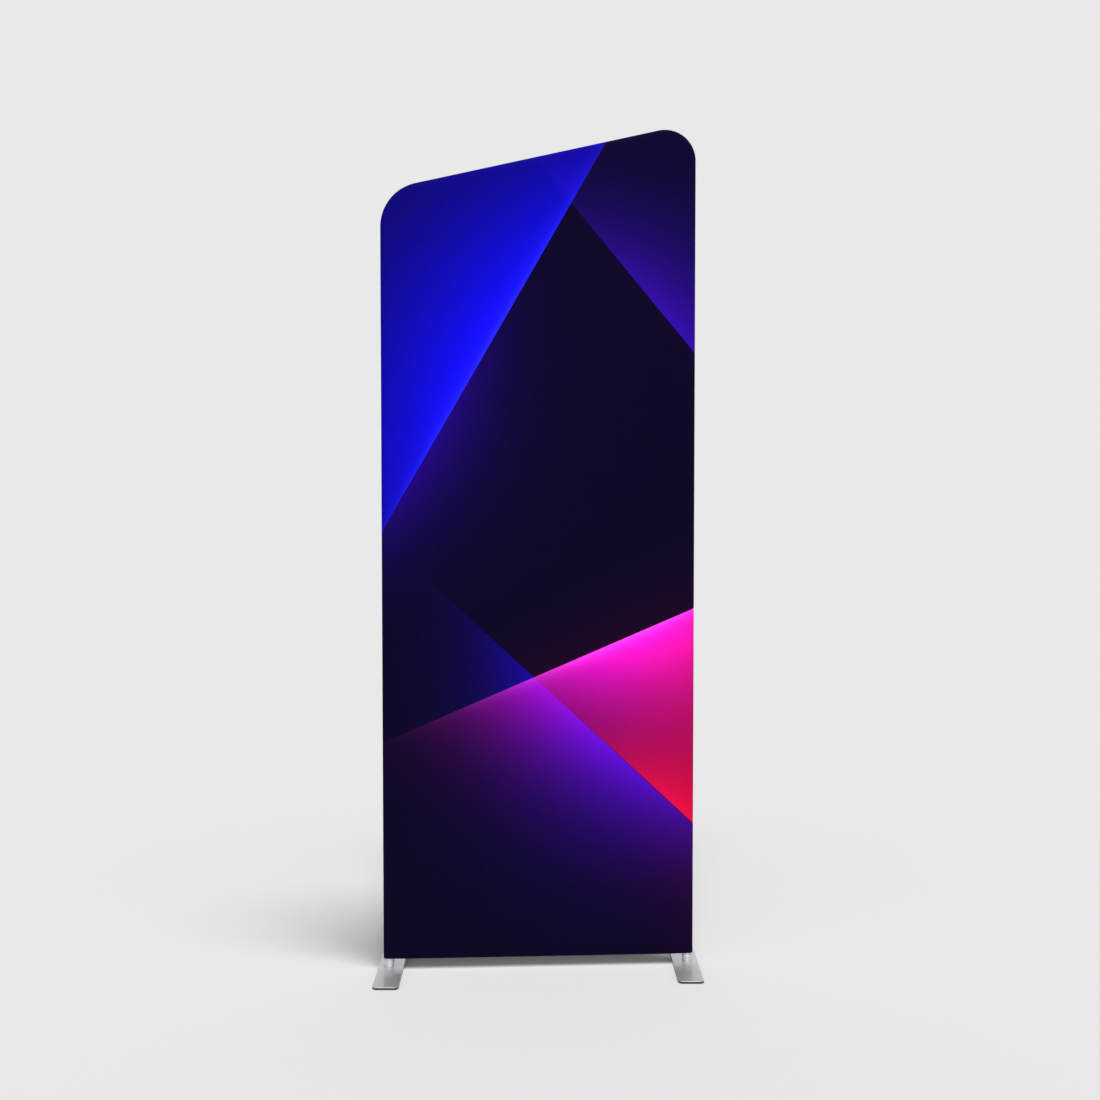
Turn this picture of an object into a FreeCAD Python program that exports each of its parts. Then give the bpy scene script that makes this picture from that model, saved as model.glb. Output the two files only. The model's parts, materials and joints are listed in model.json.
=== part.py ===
import FreeCAD, Part
import math
import os
import Sketcher

Vector = FreeCAD.Vector
Rotation = FreeCAD.Rotation
Placement = FreeCAD.Placement

# Driving sizes in millimetres, and a turn in degrees. Frame sizes are taken along the axes of the tubes.
SIZES = [
    ("frame_width", 882, "between the axes of the two uprights"),
    ("left_height", 2253, "floor to where the left upright's axis meets the top axis"),
    ("right_height", 2452, "floor to where the right upright's axis meets the top axis"),
    ("left_bend_radius", 114, "top left corner, at the tube axis"),
    ("right_bend_radius", 73, "top right corner, at the tube axis"),
    ("corner_tail", 100, "straight run at each end of a bent corner tube"),
    ("middle_joint_height", 1130, "floor to the joint in the uprights"),
    ("bottom_rail_height", 45, "floor to the axis of the bottom tube"),
    ("upright_bottom", 27, "floor to the open lower ends of the uprights"),
    ("tube_diameter", 30, "frame tube outside"),
    ("tube_wall", 1.5, "frame tube wall"),
    ("slip_gap", 0.2, "radial gap of a sleeve or post in its tube"),
    ("weld_gap", 0.1, "between a saddled end and the upright it is welded to"),
    ("saddle_gap", 0.4, "between the saddled ends of the bottom tube and the uprights"),
    ("spigot_wall", 2, "joining sleeve wall"),
    ("spigot_length", 120, "joining sleeve, half of it in each tube"),
    ("tee_length", 52, "stub beyond the face of the upright"),
    ("moving_gap", 0.3, "between parts that move on each other"),
    ("button_setback", 30, "tube end to the axis of its snap button"),
    ("button_diameter", 8, "snap button pin"),
    ("button_proud", 3, "pin above the tube"),
    ("button_round", 2.5, "rounding of the pin's tip"),
    ("button_flange", 11, "flange that keeps the pin in the sleeve"),
    ("button_flange_thickness", 1.2, "flange height along the pin"),
    ("spring_width", 6, "leaf spring strip"),
    ("spring_thickness", 0.6, "leaf spring strip"),
    ("spring_reach", 22, "button axis to the back of the spring's bend"),
    ("spring_bend", 5, "inside radius of the spring's bend"),
    ("rivet_setback", 35, "tube end to the axis of its rivet"),
    ("rivet_diameter", 4.8, "rivet shank"),
    ("rivet_hole_gap", 0.1, "radial gap of the rivet shank"),
    ("rivet_head", 9, "rivet head across"),
    ("rivet_head_height", 1.4, "rivet head above the tube"),
    ("rivet_head_round", 1, "rounding of the rivet head"),
    ("rivet_tail", 1.2, "shank end inside the sleeve"),
    ("cover_gap", 0.4, "between the tube and the stretched cover"),
    ("cover_thickness", 0.8, "stretch cloth"),
    ("cover_notch", 3, "gap beside each upright in the cover's lower edge"),
    ("cover_tab_rise", 3.2, "lower ends of the cover beside the posts, above the hem under the rail"),
    ("zip_height", 76, "floor to the middle of the zip"),
    ("zip_length", 800, "opening in the back of the cover"),
    ("zip_chain_width", 6, "closed row of teeth"),
    ("zip_chain_thickness", 2.4, "row of teeth through the tape"),
    ("zip_tape_width", 6, "tape that shows on each side of the teeth"),
    ("zip_tape_thickness", 0.7, "woven tape"),
    ("zip_stop_length", 4, "clip at each end of the teeth"),
    ("slider_length", 14, "zip slider along the zip"),
    ("slider_plate", 1.2, "wall of the zip slider"),
    ("slider_nose", 4, "closed end of the slider ahead of the teeth"),
    ("slider_core", 2.4, "wedge between the two plates of the slider"),
    ("slider_round", 1, "edges of the slider along its travel"),
    ("bridge_width", 3, "loop on the slider that holds the pull"),
    ("bridge_bar", 1, "thickness of that loop"),
    ("bridge_round", 0.8, "outer corners of that loop"),
    ("pull_pin", 1.8, "round bar of the pull under the bridge"),
    ("pull_length", 30, "zip pull from its pin to its end"),
    ("pull_width", 8, "zip pull across"),
    ("pull_thickness", 1.6, "zip pull"),
    ("pull_round", 3, "corners at the free end of the pull"),
    ("plate_length", 400, "foot plate, front to back"),
    ("plate_width", 74, "foot plate, side to side"),
    ("plate_thickness", 6, "foot plate"),
    ("plate_offset", 6, "middle of the plate inside of the upright's axis"),
    ("plate_turn", 3, "degrees that the plates stand turned about their posts, clockwise from above"),
    ("plate_corner", 14, "foot plate corners seen from above"),
    ("plate_edge_round", 1.5, "upper edge of the foot plate"),
    ("pad_thickness", 1.5, "rubber pads under the plate"),
    ("pad_diameter", 16, "rubber pads"),
    ("pad_inset", 15, "plate edge to the middle of a pad"),
    ("post_length", 110, "post above its collar"),
    ("post_bore", 18, "hollow of the post"),
    ("post_lead", 2, "bevel at the top of the post"),
    ("collar_diameter", 30, "collar between the plate and the upright"),
    ("collar_bevel", 0.8, "lower and upper edge of the collar"),
    ("post_base", 22, "solid foot of the post that takes the screw"),
    ("screw_diameter", 10, "foot screw"),
    ("screw_gap", 0.1, "radial gap of the screw in the post"),
    ("screw_head", 18, "countersunk head across"),
    ("screw_recess", 0.4, "screw head above the underside of the plate"),
    ("screw_length", 20, "screw from the underside of its head"),
    ("hex_size", 6, "hexagon socket across its flats"),
    ("hex_depth", 3, "hexagon socket"),
]

# Sizes that follow from the driving ones. A plain number stands for millimetres or degrees.
LAYOUT = [
    ("half_width", "sizes.frame_width / 2"),
    ("slope", "atan((sizes.right_height - sizes.left_height) / sizes.frame_width) / 1 deg"),
    ("top_span", "sizes.frame_width / cos(layout.slope)"),
    ("left_run", "sizes.left_bend_radius * tan((90 - layout.slope) / 2)"),
    ("right_run", "sizes.right_bend_radius * tan((90 + layout.slope) / 2)"),
    ("left_reach", "layout.left_run + sizes.corner_tail"),
    ("right_reach", "layout.right_run + sizes.corner_tail"),
    ("left_joint_height", "sizes.left_height - layout.left_reach"),
    ("right_joint_height", "sizes.right_height - layout.right_reach"),
    ("top_length", "layout.top_span - layout.left_reach - layout.right_reach"),
    ("tube_radius", "sizes.tube_diameter / 2"),
    ("tube_bore", "sizes.tube_diameter - 2 * sizes.tube_wall"),
    ("spigot_diameter", "layout.tube_bore - 2 * sizes.slip_gap"),
    ("spigot_bore", "layout.spigot_diameter - 2 * sizes.spigot_wall"),
    ("saddle_reach", "layout.tube_radius + sizes.button_setback"),
    ("button_hole", "sizes.button_diameter + 2 * sizes.moving_gap"),
    ("button_tip", "layout.tube_radius + sizes.button_proud"),
    ("flange_seat", "sqrt((layout.spigot_bore / 2) ^ 2 - (sizes.button_flange / 2) ^ 2) - sizes.moving_gap"),
    ("flange_back", "layout.flange_seat - sizes.button_flange_thickness"),
    ("spring_back", "sqrt((layout.spigot_bore / 2) ^ 2 - (sizes.spring_width / 2) ^ 2) - sizes.slip_gap"),
    ("spring_tip", "sizes.button_setback + sizes.button_flange / 2"),
    ("spring_end", "sizes.button_setback - sizes.spring_reach"),
    ("rivet_hole", "sizes.rivet_diameter + 2 * sizes.rivet_hole_gap"),
    ("cover_inside", "layout.tube_radius + sizes.cover_gap"),
    ("cover_outside", "layout.cover_inside + sizes.cover_thickness"),
    ("cover_middle", "layout.cover_inside + sizes.cover_thickness / 2"),
    ("cover_bottom", "sizes.bottom_rail_height - layout.cover_outside + sizes.cover_tab_rise"),
    ("notch", "layout.tube_radius + sizes.cover_notch"),
    ("zip_slot", "sizes.zip_chain_width + 2 * sizes.zip_tape_width"),
    ("zip_stop_at", "sizes.zip_length / 2 - sizes.zip_stop_length"),
    ("slider_place", "layout.zip_stop_at - sizes.moving_gap - sizes.slider_length / 2"),
    ("nose_start", "sizes.slider_length / 2 - sizes.slider_nose"),
    ("channel_width", "sizes.zip_chain_width + 2 * sizes.moving_gap"),
    ("channel_depth", "sizes.zip_chain_thickness + 2 * sizes.moving_gap"),
    ("slider_width", "layout.channel_width + 2 * sizes.slider_plate"),
    ("slider_depth", "layout.channel_depth + 2 * sizes.slider_plate"),
    ("chain_length", "layout.zip_stop_at + layout.slider_place + layout.nose_start - sizes.moving_gap"),
    ("pull_axis", "layout.slider_depth / 2 + sizes.moving_gap + sizes.pull_pin / 2"),
    ("bridge_inside", "layout.pull_axis + sizes.pull_pin / 2 + sizes.moving_gap"),
    ("bridge_opening", "sizes.pull_pin / 2 + 2 * sizes.moving_gap"),
    ("bridge_outside", "layout.bridge_opening + sizes.bridge_bar"),
    ("bridge_top", "layout.bridge_inside + sizes.bridge_bar"),
    ("pull_slot", "sizes.bridge_width + 4 * sizes.moving_gap"),
    ("pull_slot_end", "sqrt(layout.bridge_outside ^ 2 + (layout.bridge_top - layout.pull_axis) ^ 2)"
                      " + sizes.moving_gap"),
    ("plate_top", "sizes.pad_thickness + sizes.plate_thickness"),
    ("post_diameter", "layout.tube_bore - 2 * sizes.slip_gap"),
    ("post_top", "sizes.upright_bottom + sizes.post_length"),
    ("post_base_top", "layout.plate_top + sizes.post_base"),
    ("screw_bottom", "sizes.pad_thickness + sizes.screw_recess"),
    ("screw_cone", "(sizes.screw_head - sizes.screw_diameter) / 2"),
    ("screw_top", "layout.screw_bottom + sizes.screw_length"),
    ("hex_radius", "sizes.hex_size / 2 / cos(30)"),
]

# Each joint of the frame: axis start (x, z), direction about Y, and the side its button and rivet face.
# The direction runs from the tube that holds the sleeve to the tube that is pushed on.
JOINTS = {
    "left_middle": ("-layout.half_width", "sizes.middle_joint_height", "0", 1),
    "right_middle": ("layout.half_width", "sizes.middle_joint_height", "0", -1),
    "left_upper": ("-layout.half_width", "layout.left_joint_height", "0", 1),
    "right_upper": ("layout.half_width", "layout.right_joint_height", "0", -1),
    "top_left": ("-layout.half_width + layout.left_reach * cos(layout.slope)",
                 "sizes.left_height + layout.left_reach * sin(layout.slope)", "-90 - layout.slope", -1),
    "top_right": ("layout.half_width - layout.right_reach * cos(layout.slope)",
                  "sizes.right_height - layout.right_reach * sin(layout.slope)", "90 - layout.slope", 1),
    "left_tee": ("-layout.half_width", "sizes.bottom_rail_height", "90", -1),
    "right_tee": ("layout.half_width", "sizes.bottom_rail_height", "-90", 1),
}
TEES = ("left_tee", "right_tee")

doc = FreeCAD.newDocument("fabric_exhibit_display")
pieces = []


def fill_sheet():
    sheet = doc.addObject("Spreadsheet::Sheet", "sizes")
    for row, (alias, size, note) in enumerate(SIZES, start=1):
        sheet.set(f"A{row}", alias)
        sheet.set(f"B{row}", str(size))
        sheet.set(f"C{row}", note)
        sheet.setAlias(f"B{row}", alias)
    doc.recompute()


def fill_layout():
    layout = doc.addObject("App::VarSet", "layout")
    for name, expression in LAYOUT:
        layout.addProperty("App::PropertyFloat", name, "Layout", "")
        layout.setExpression(name, expression)
        doc.recompute()
    return layout


fill_sheet()
layout = fill_layout()


def value(expression):
    return float(layout.evalExpression(str(expression)))


def new_body(label):
    body = doc.addObject("PartDesign::Body", label)
    body.Label = label
    return body


def place(item, x="0", y="0", z="0", angle="0", axis=Vector(0, 1, 0)):
    # Turned about the axis by the angle, then moved.
    item.Placement = Placement(Vector(), Rotation(axis, 1))
    item.setExpression("Placement.Rotation.Angle", angle)
    for direction, expression in (("x", x), ("y", y), ("z", z)):
        item.setExpression(f"Placement.Base.{direction}", expression)
    return item


def place_on_post(item, side):
    # A foot plate, and what is under it, turned about the post that stands at its origin.
    return place(item, x=f"{side} * layout.half_width", angle="sizes.plate_turn", axis=Vector(0, 0, -1))


def keep(item):
    pieces.append(item)
    return item


def new_sketch(body, name, role, offset="0", across="0", along="0", angle="0"):
    # On one of the body's planes, moved along its normal and within it, and turned about its second axis.
    sketch = body.newObject("Sketcher::SketchObject", name)
    plane = next(item for item in body.Origin.OriginFeatures if item.Role == role)
    sketch.AttachmentSupport = (plane, [""])
    sketch.MapMode = "FlatFace"
    sketch.AttachmentOffset = Placement(Vector(), Rotation(Vector(0, 1, 0), 1))
    sketch.setExpression("AttachmentOffset.Rotation.Angle", angle)
    for axis, expression in (("x", across), ("y", along), ("z", offset)):
        sketch.setExpression(f"AttachmentOffset.Base.{axis}", expression)
    return sketch


def fix(sketch, kind, *references, size):
    index = sketch.addConstraint(Sketcher.Constraint(kind, *references, value(size)))
    sketch.setExpression(f"Constraints[{index}]", size)


def fix_point(sketch, geometry, position, x, y):
    fix(sketch, "DistanceX", -1, 1, geometry, position, size=x)
    fix(sketch, "DistanceY", -1, 1, geometry, position, size=y)


def add_circle(sketch, diameter):
    circle = sketch.addGeometry(Part.Circle(Vector(), Vector(0, 0, 1), value(diameter) / 2), False)
    sketch.addConstraint(Sketcher.Constraint("Coincident", circle, 3, -1, 1))
    fix(sketch, "Diameter", circle, size=diameter)


def add_outline(sketch, corners, closed=True):
    # Straight runs through the corners (x, y) or (x, y, radius), with an arc at each corner with a radius.
    points = [Vector(value(corner[0]), value(corner[1]), 0) for corner in corners]
    count = len(corners)
    starts = list(points)
    ends = list(points)
    for index, corner in enumerate(corners):
        if len(corner) == 3:
            before = (points[index - 1] - points[index]).normalize()
            after = (points[(index + 1) % count] - points[index]).normalize()
            run = value(corner[2]) / math.tan(before.getAngle(after) / 2)
            ends[index] = points[index] + before * run
            starts[index] = points[index] + after * run
    lines = []
    for index in range(count if closed else count - 1):
        segment = Part.LineSegment(starts[index], ends[(index + 1) % count])
        lines.append(sketch.addGeometry(segment, False))
    if not closed:
        fix_point(sketch, lines[0], 1, *corners[0])
        fix_point(sketch, lines[-1], 2, *corners[-1])
    for index in range(count) if closed else range(1, count - 1):
        line_in = lines[index - 1]
        line_out = lines[index % count]
        corner = corners[index]
        if len(corner) == 2:
            sketch.addConstraint(Sketcher.Constraint("Coincident", line_in, 2, line_out, 1))
            fix_point(sketch, line_out, 1, *corner)
        else:
            round_corner(sketch, corner, points[index], ends[index], starts[index], line_in, line_out)


def round_corner(sketch, corner, point, arc_from, arc_to, line_in, line_out):
    inward = ((arc_from - point).normalize() + (arc_to - point).normalize()).normalize()
    radius = value(corner[2])
    centre = point + inward * math.hypot(radius, (arc_from - point).Length)
    arc = sketch.addGeometry(Part.Arc(arc_from, centre - inward * radius, arc_to), False)
    turn = (arc_from - centre).cross(arc_to - centre).z
    first, last = (1, 2) if turn > 0 else (2, 1)
    sketch.addConstraint(Sketcher.Constraint("Tangent", line_in, 2, arc, first))
    sketch.addConstraint(Sketcher.Constraint("Tangent", arc, last, line_out, 1))
    fix(sketch, "Radius", arc, size=corner[2])
    mark = sketch.addGeometry(Part.Point(point), True)
    sketch.addConstraint(Sketcher.Constraint("PointOnObject", mark, 1, line_in))
    sketch.addConstraint(Sketcher.Constraint("PointOnObject", mark, 1, line_out))
    fix_point(sketch, mark, 1, corner[0], corner[1])


def add_quarter_ring(sketch, centre, side_x, side_y, inside, outside):
    # A quarter of a ring round the centre, in the quadrant that the two sides name.
    middle = Vector(value(centre[0]), value(centre[1]), 0)
    level = 0 if side_x > 0 else 180
    upright = 90 if side_y > 0 else 270
    level_first = (upright - level) % 360 == 90
    start = math.radians(level if level_first else upright)
    level_end, upright_end = (1, 2) if level_first else (2, 1)
    arcs = []
    for radius in (inside, outside):
        circle = Part.Circle(middle, Vector(0, 0, 1), value(radius))
        arc = sketch.addGeometry(Part.ArcOfCircle(circle, start, start + math.pi / 2), False)
        fix(sketch, "Radius", arc, size=radius)
        sketch.addConstraint(Sketcher.Constraint("Horizontal", arc, 3, arc, level_end))
        sketch.addConstraint(Sketcher.Constraint("Vertical", arc, 3, arc, upright_end))
        arcs.append(arc)
    fix_point(sketch, arcs[0], 3, *centre)
    sketch.addConstraint(Sketcher.Constraint("Coincident", arcs[0], 3, arcs[1], 3))
    for end in (1, 2):
        near = sketch.getPoint(arcs[0], end)
        far = sketch.getPoint(arcs[1], end)
        line = sketch.addGeometry(Part.LineSegment(near, far), False)
        sketch.addConstraint(Sketcher.Constraint("Coincident", line, 1, arcs[0], end))
        sketch.addConstraint(Sketcher.Constraint("Coincident", line, 2, arcs[1], end))


def pad(body, sketch, length):
    feature = body.newObject("PartDesign::Pad", sketch.Name + "_pad")
    feature.Profile = (sketch, [""])
    feature.setExpression("Length", length)
    return feature


def pocket(body, sketch, depth):
    # Cuts against the normal of the sketch, and has to take something away.
    doc.recompute()
    before = body.Shape.Volume
    feature = body.newObject("PartDesign::Pocket", sketch.Name + "_pocket")
    feature.Profile = (sketch, [""])
    feature.setExpression("Length", depth)
    doc.recompute()
    if body.Shape.Volume >= before:
        raise RuntimeError(f"{sketch.Name} cuts nothing from {body.Label}")
    return feature


def revolve(body, sketch, axis, kind="PartDesign::Revolution"):
    feature = body.newObject(kind, sketch.Name + "_turned")
    feature.Profile = (sketch, [""])
    feature.ReferenceAxis = (sketch, [axis])
    feature.Angle = 360
    return feature


def sweep(body, profile, path):
    feature = body.newObject("PartDesign::AdditivePipe", path.Name + "_pipe")
    feature.Profile = (profile, [""])
    feature.Spine = (path, [""])
    return feature


def drill(body, name, x, z, angle, diameter, depth):
    # A round hole from a point of the XZ plane. At angle 0 it goes down, at 90 towards -X, at -90 towards +X.
    sketch = new_sketch(body, f"{body.Name}_{name}", "XY_Plane", offset=z, across=x, angle=angle)
    add_circle(sketch, diameter)
    return pocket(body, sketch, depth)


def side_angle(side):
    return "-90" if side > 0 else "90"


def ring_pad(label, outside, inside, start, length):
    body = new_body(label)
    sketch = new_sketch(body, f"{label}_ring", "XY_Plane", offset=start)
    add_circle(sketch, outside)
    add_circle(sketch, inside)
    pad(body, sketch, length)
    return body


def button_hole(body, name, z, side):
    drill(body, name, "0", z, side_angle(side), "layout.button_hole", "sizes.tube_diameter")


def rivet_hole(body, name, z, side):
    drill(body, name, "0", z, side_angle(side), "layout.rivet_hole", "sizes.tube_diameter")


def straight_tube(label, length):
    return ring_pad(label, "sizes.tube_diameter", "layout.tube_bore", "0", length)


def make_uprights():
    for name, x, side in (("left", "-layout.half_width", 1), ("right", "layout.half_width", -1)):
        lower_length = "sizes.middle_joint_height - sizes.upright_bottom"
        upper_length = f"layout.{name}_joint_height - sizes.middle_joint_height"
        lower = straight_tube(f"{name}_lower_upright", lower_length)
        rivet_hole(lower, "rivet_hole", f"{lower_length} - sizes.rivet_setback", side)
        keep(place(lower, x=x, z="sizes.upright_bottom"))
        upper = straight_tube(f"{name}_upper_upright", upper_length)
        button_hole(upper, "button_hole", "sizes.button_setback", side)
        rivet_hole(upper, "rivet_hole", f"{upper_length} - sizes.rivet_setback", side)
        keep(place(upper, x=x, z="sizes.middle_joint_height"))


def make_corner_tubes():
    for name, side in (("left", 1), ("right", -1)):
        body = new_body(f"{name}_corner_tube")
        ring = new_sketch(body, f"{body.Name}_ring", "XY_Plane")
        add_circle(ring, "sizes.tube_diameter")
        add_circle(ring, "layout.tube_bore")
        reach = f"layout.{name}_reach"
        path = new_sketch(body, f"{body.Name}_path", "XZ_Plane")
        add_outline(path, [
            ("0", "0"),
            ("0", reach, f"sizes.{name}_bend_radius"),
            (f"{side} * {reach} * cos(layout.slope)", f"{reach} + {side} * {reach} * sin(layout.slope)"),
        ], closed=False)
        sweep(body, ring, path)
        button_hole(body, "side_hole", "sizes.button_setback", side)
        to_hole = f"({reach} - sizes.button_setback)"
        hole_x = f"{side} * {to_hole} * cos(layout.slope)"
        hole_z = f"{reach} + {side} * {to_hole} * sin(layout.slope)"
        drill(body, "top_hole", hole_x, hole_z, "-layout.slope", "layout.button_hole", "sizes.tube_diameter")
        keep(place(body, x=f"{-side} * layout.half_width", z=f"layout.{name}_joint_height"))


def make_top_tube():
    body = straight_tube("top_tube", "layout.top_length")
    rivet_hole(body, "left_hole", "sizes.rivet_setback", 1)
    rivet_hole(body, "right_hole", "layout.top_length - sizes.rivet_setback", 1)
    x, z, _, _ = JOINTS["top_left"]
    keep(place(body, x=x, z=z, angle="90 - layout.slope"))


def make_bottom_tube():
    body = straight_tube("bottom_tube", "sizes.frame_width")
    saddle = "sizes.tube_diameter + 2 * sizes.saddle_gap"
    for name, end in (("left", "0"), ("right", "sizes.frame_width")):
        drill(body, f"{name}_saddle", "-sizes.tube_diameter", end, "-90", saddle, "2 * sizes.tube_diameter")
    button_hole(body, "left_hole", "layout.saddle_reach", -1)
    button_hole(body, "right_hole", "sizes.frame_width - layout.saddle_reach", -1)
    keep(place(body, x="-layout.half_width", z="sizes.bottom_rail_height", angle="90"))


def button_distance(joint):
    # From the joint's axis start to its button.
    return "layout.saddle_reach" if joint in TEES else "sizes.button_setback"


def make_spigots():
    for joint, (x, z, angle, side) in JOINTS.items():
        label = f"{joint}_spigot"
        if joint in TEES:
            length = "layout.tube_radius + sizes.tee_length"
            body = ring_pad(label, "layout.spigot_diameter", "layout.spigot_bore", "0", length)
            saddle = "sizes.tube_diameter + 2 * sizes.weld_gap"
            drill(body, "saddle", "-sizes.tube_diameter", "0", "-90", saddle, "2 * sizes.tube_diameter")
        else:
            start = "-sizes.spigot_length / 2"
            body = ring_pad(label, "layout.spigot_diameter", "layout.spigot_bore", start, "sizes.spigot_length")
            rivet_hole(body, "rivet_hole", "-sizes.rivet_setback", side)
        button_hole(body, "button_hole", button_distance(joint), side)
        keep(place(body, x=x, z=z, angle=angle))


def make_rivets():
    rivets = []
    for joint, (x, z, angle, side) in JOINTS.items():
        if joint in TEES:
            continue
        body = new_body(f"{joint}_rivet")
        sketch = new_sketch(body, f"{joint}_rivet_profile", "XZ_Plane", along="-sizes.rivet_setback")
        tail = f"{side} * (layout.spigot_bore / 2 - sizes.rivet_tail)"
        seat = f"{side} * layout.tube_radius"
        top = f"{side} * (layout.tube_radius + sizes.rivet_head_height)"
        add_outline(sketch, [
            (tail, "0"),
            (top, "0"),
            (top, "sizes.rivet_head / 2", "sizes.rivet_head_round"),
            (seat, "sizes.rivet_head / 2"),
            (seat, "sizes.rivet_diameter / 2"),
            (tail, "sizes.rivet_diameter / 2"),
        ])
        revolve(body, sketch, "H_Axis")
        rivets.append(place(body, x=x, z=z, angle=angle))
    group = doc.addObject("Part::Compound", "spigot_rivets")
    group.Links = rivets
    keep(group)


def make_buttons():
    for joint, (x, z, angle, side) in JOINTS.items():
        body = new_body(f"{joint}_button")
        sketch = new_sketch(body, f"{joint}_button_profile", "XZ_Plane", along=button_distance(joint))
        back = f"{side} * layout.flange_back"
        seat = f"{side} * layout.flange_seat"
        tip = f"{side} * layout.button_tip"
        add_outline(sketch, [
            (back, "0"),
            (tip, "0"),
            (tip, "sizes.button_diameter / 2", "sizes.button_round"),
            (seat, "sizes.button_diameter / 2"),
            (seat, "sizes.button_flange / 2"),
            (back, "sizes.button_flange / 2"),
        ])
        revolve(body, sketch, "H_Axis")
        keep(place(body, x=x, z=z, angle=angle))


def make_springs():
    # A strip bent to a U: one leg presses on the button's flange, the other lies along the sleeve.
    for joint, (x, z, angle, side) in JOINTS.items():
        body = new_body(f"{joint}_spring")
        shift = f"{button_distance(joint)} - sizes.button_setback"
        sketch = new_sketch(body, f"{joint}_spring_profile", "XZ_Plane",
                            offset="-sizes.spring_width / 2", along=shift)
        front = f"{side} * layout.flange_back"
        front_inner = f"{side} * (layout.flange_back - sizes.spring_thickness)"
        back = f"{-side} * layout.spring_back"
        back_inner = f"{-side} * (layout.spring_back - sizes.spring_thickness)"
        bend = "layout.spring_end"
        bend_inner = "layout.spring_end + sizes.spring_thickness"
        outer_radius = "sizes.spring_bend + sizes.spring_thickness"
        add_outline(sketch, [
            (front, "layout.spring_tip"),
            (front, bend, outer_radius),
            (back, bend, outer_radius),
            (back, "layout.spring_tip"),
            (back_inner, "layout.spring_tip"),
            (back_inner, bend_inner, "sizes.spring_bend"),
            (front_inner, bend_inner, "sizes.spring_bend"),
            (front_inner, "layout.spring_tip"),
        ])
        pad(body, sketch, "sizes.spring_width")
        keep(place(body, x=x, z=z, angle=angle))


def make_covers():
    # Each half is a flat sheet, a quarter round along the sides and top, and one under the bottom tube.
    for name, side in (("front", -1), ("back", 1)):
        body = new_body(f"cover_{name}")
        near = "layout.cover_inside" if side < 0 else "-layout.cover_outside"
        left = "-layout.half_width"
        right = "layout.half_width"
        low = "layout.cover_bottom"
        rail = "sizes.bottom_rail_height"
        left_corner = (left, "sizes.left_height", "sizes.left_bend_radius")
        right_corner = (right, "sizes.right_height", "sizes.right_bend_radius")
        sheet = new_sketch(body, f"cover_{name}_sheet", "XZ_Plane", offset=near)
        add_outline(sheet, [
            (left, low),
            ("-layout.half_width + layout.notch", low),
            ("-layout.half_width + layout.notch", rail),
            ("layout.half_width - layout.notch", rail),
            ("layout.half_width - layout.notch", low),
            (right, low),
            right_corner,
            left_corner,
        ])
        pad(body, sheet, "sizes.cover_thickness")
        hem = new_sketch(body, f"cover_{name}_hem", "YZ_Plane", offset="-layout.half_width + layout.notch")
        add_quarter_ring(hem, ("0", rail), side, -1, "layout.cover_inside", "layout.cover_outside")
        pad(body, hem, "sizes.frame_width - 2 * layout.notch")
        rim = new_sketch(body, f"cover_{name}_rim", "XY_Plane", offset=low)
        add_quarter_ring(rim, (left, "0"), -1, side, "layout.cover_inside", "layout.cover_outside")
        path = new_sketch(body, f"cover_{name}_path", "XZ_Plane")
        add_outline(path, [(left, low), left_corner, right_corner, (right, low)], closed=False)
        sweep(body, rim, path)
        if name == "back":
            slot = new_sketch(body, "zip_slot", "XZ_Plane")
            slot_low = "sizes.zip_height - layout.zip_slot / 2"
            slot_high = "sizes.zip_height + layout.zip_slot / 2"
            add_outline(slot, [
                ("-sizes.zip_length / 2", slot_low),
                ("sizes.zip_length / 2", slot_low),
                ("sizes.zip_length / 2", slot_high),
                ("-sizes.zip_length / 2", slot_high),
            ])
            pocket(body, slot, "2 * layout.cover_outside")
        keep(body)


def strip(label, length, thickness, width, x, z):
    # A flat strip along X in the plane of the back of the cover.
    box = doc.addObject("Part::Box", label)
    box.setExpression("Length", length)
    box.setExpression("Width", thickness)
    box.setExpression("Height", width)
    return place(box, x=x, y=f"layout.cover_middle - {thickness} / 2", z=z)


def make_zip_strips():
    half_chain = "sizes.zip_chain_width / 2"
    tape_start = "-sizes.zip_length / 2"
    tape = ("sizes.zip_length", "sizes.zip_tape_thickness", "sizes.zip_tape_width")
    keep(strip("zip_tape_upper", *tape, tape_start, f"sizes.zip_height + {half_chain}"))
    keep(strip("zip_tape_lower", *tape, tape_start, f"sizes.zip_height - {half_chain} - sizes.zip_tape_width"))
    chain = ("sizes.zip_chain_thickness", "sizes.zip_chain_width")
    chain_low = f"sizes.zip_height - {half_chain}"
    keep(strip("zip_chain", "layout.chain_length", *chain, "-layout.zip_stop_at", chain_low))
    stops = []
    for name, x in (("left", tape_start), ("right", "layout.zip_stop_at")):
        stops.append(strip(f"{name}_zip_stop", "sizes.zip_stop_length", *chain, x, chain_low))
    group = doc.addObject("Part::Compound", "zip_stops")
    group.Links = stops
    keep(group)


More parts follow.
